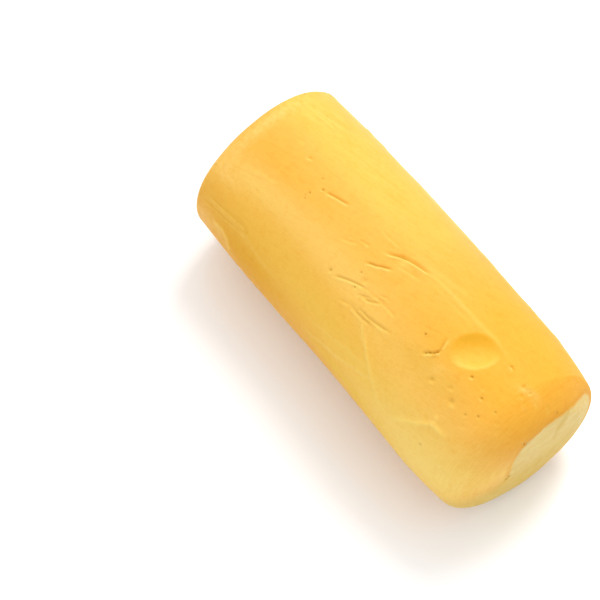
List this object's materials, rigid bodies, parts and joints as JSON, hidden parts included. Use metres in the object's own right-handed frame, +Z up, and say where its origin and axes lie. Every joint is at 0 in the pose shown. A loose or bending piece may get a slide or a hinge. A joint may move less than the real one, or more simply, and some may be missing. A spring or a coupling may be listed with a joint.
{
  "type": "provolone cheese",
  "caption": "Whole log-shaped provolone cheese with a smooth golden rind, rounded ends, a pale unsmoked disc on one end, a thumb dent and fine creases.",
  "frame": {"origin": "on the floor, under the middle of the log's length and width", "axes": "+X along the log towards the end with the pale disc, +Y towards the brighter long side, +Z up through the shown side"},
  "size_m": [0.313, 0.1432, 0.1394],
  "materials": {
    "rind": "satin waxy cheese rind, golden yellow"
  },
  "bodies": {
    "root": {"provolone": "rind"}
  },
  "joints": []
}
